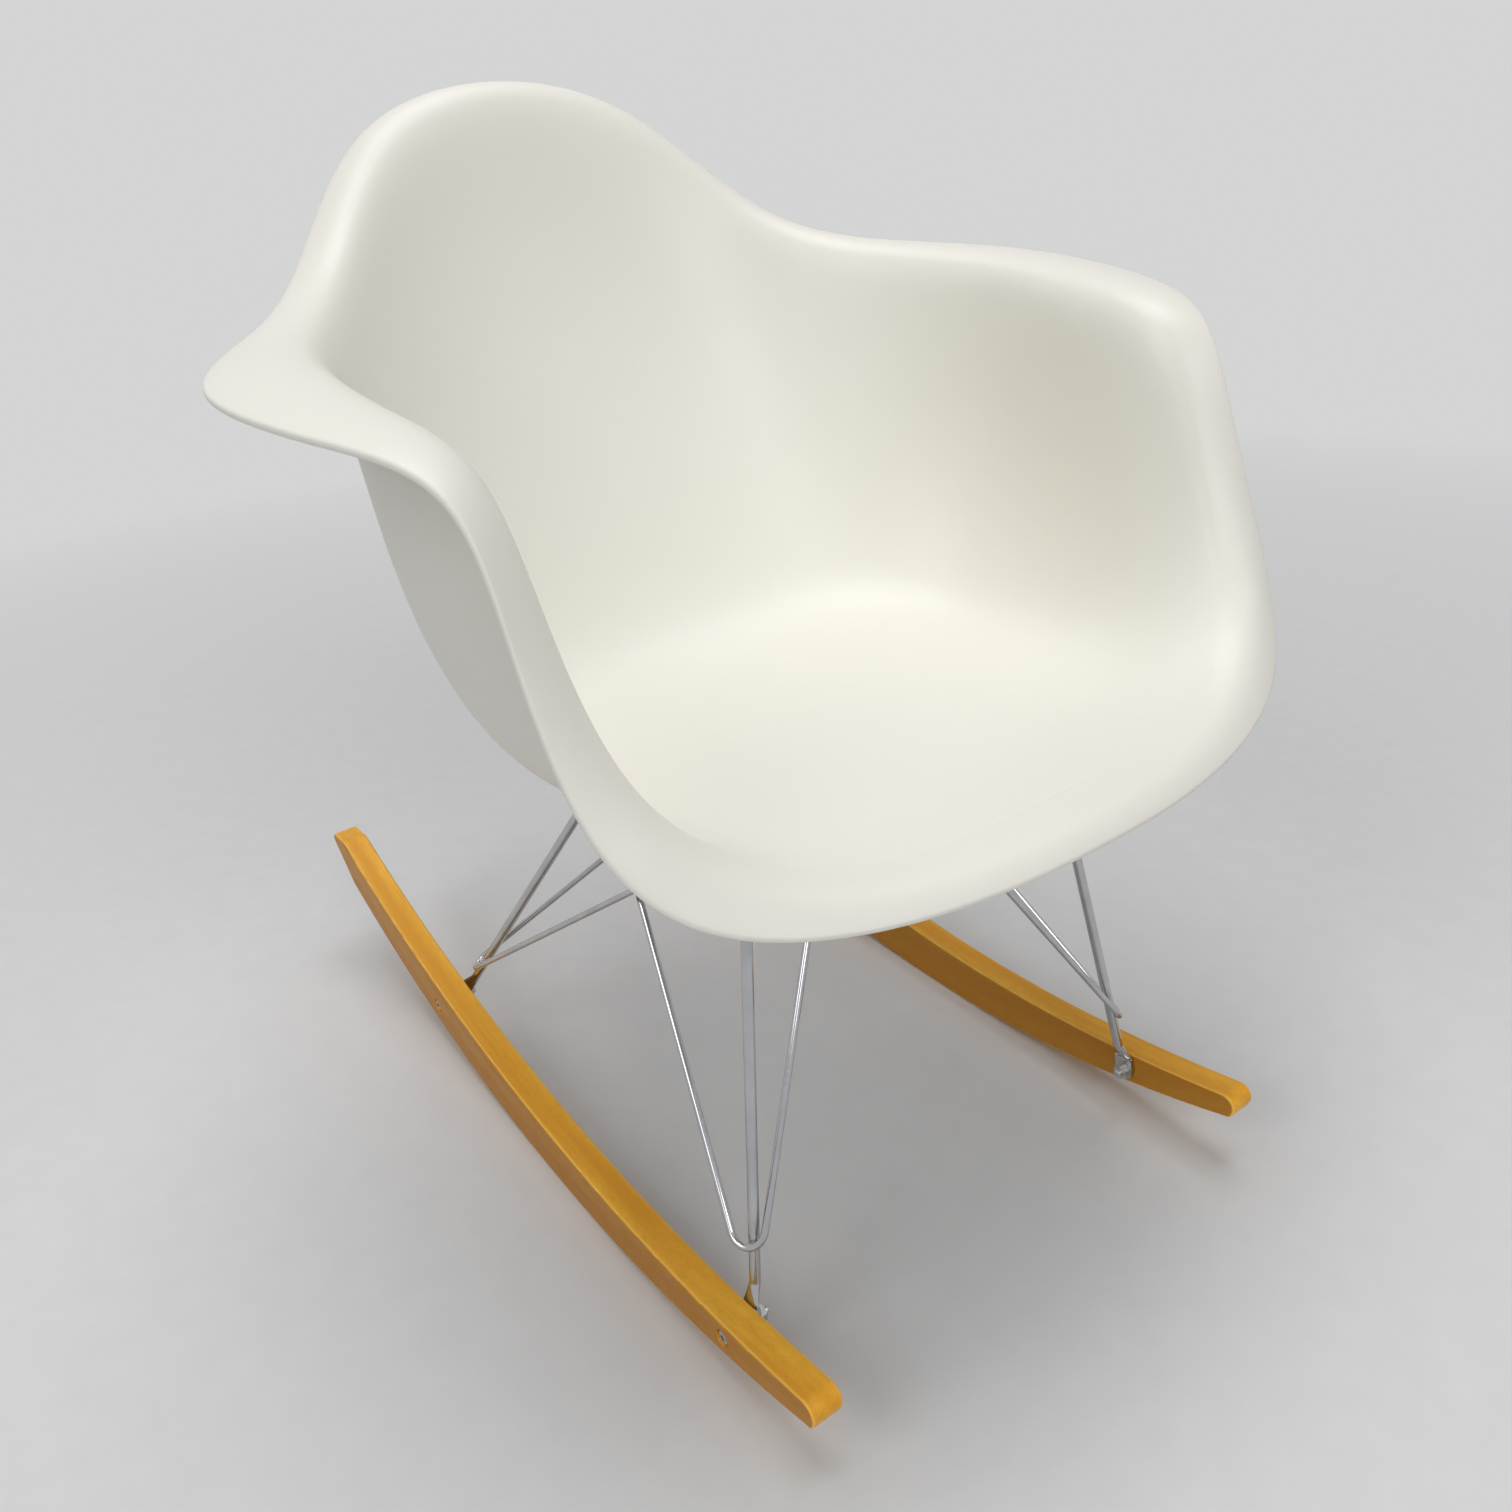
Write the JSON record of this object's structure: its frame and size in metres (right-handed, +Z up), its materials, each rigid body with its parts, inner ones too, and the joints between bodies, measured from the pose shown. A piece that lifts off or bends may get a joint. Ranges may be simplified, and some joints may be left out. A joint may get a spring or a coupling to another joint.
{
  "type": "moulded plastic rocking chair",
  "caption": "One-piece moulded armchair shell on a welded steel rod frame that is bolted to a pair of curved wooden rockers.",
  "frame": {"origin": "middle of the line between the two points where the rockers touch the floor, at floor level", "axes": "+X to the sitter's left, +Y towards the back, +Z up; the sitter faces -Y. Pieces named left are on the -X side, on the left for someone who looks at the chair from the front"},
  "size_m": [0.6267, 0.7441, 0.7443],
  "materials": {
    "shell": "satin, warm white",
    "wood": "satin lacquered maple, honey",
    "chromed_rod": "polished chrome",
    "fastener": "bright zinc",
    "rubber": "matt black",
    "brass": "plain"
  },
  "bodies": {
    "root": {"seat_shell": "shell", "rocker_left": "wood", "rocker_right": "wood", "front_leg_left": "chromed_rod", "front_leg_right": "chromed_rod", "rear_leg_left": "chromed_rod", "rear_leg_right": "chromed_rod", "front_brace_left": "chromed_rod", "front_brace_right": "chromed_rod", "rear_brace_left": "chromed_rod", "rear_brace_right": "chromed_rod", "top_rail_left": "chromed_rod", "top_rail_right": "chromed_rod", "front_cross_rod": "chromed_rod", "rear_cross_rod": "chromed_rod", "mount_ear_front_left": "chromed_rod", "mount_ear_front_right": "chromed_rod", "mount_rubber_front_left": "rubber", "mount_rubber_front_right": "rubber", "mount_insert_front_left": "brass", "mount_insert_front_right": "brass", "mount_washer_front_left": "fastener", "mount_washer_front_right": "fastener", "mount_screw_front_left": "fastener", "mount_screw_front_right": "fastener", "rocker_bolt_front_left": "fastener", "rocker_bolt_front_right": "fastener", "rocker_washer_front_left": "fastener", "rocker_washer_front_right": "fastener", "rocker_nut_front_left": "fastener", "rocker_nut_front_right": "fastener", "mount_ear_rear_left": "chromed_rod", "mount_ear_rear_right": "chromed_rod", "mount_rubber_rear_left": "rubber", "mount_rubber_rear_right": "rubber", "mount_insert_rear_left": "brass", "mount_insert_rear_right": "brass", "mount_washer_rear_left": "fastener", "mount_washer_rear_right": "fastener", "mount_screw_rear_left": "fastener", "mount_screw_rear_right": "fastener", "rocker_bolt_rear_left": "fastener", "rocker_bolt_rear_right": "fastener", "rocker_washer_rear_left": "fastener", "rocker_washer_rear_right": "fastener", "rocker_nut_rear_left": "fastener", "rocker_nut_rear_right": "fastener"}
  },
  "joints": []
}
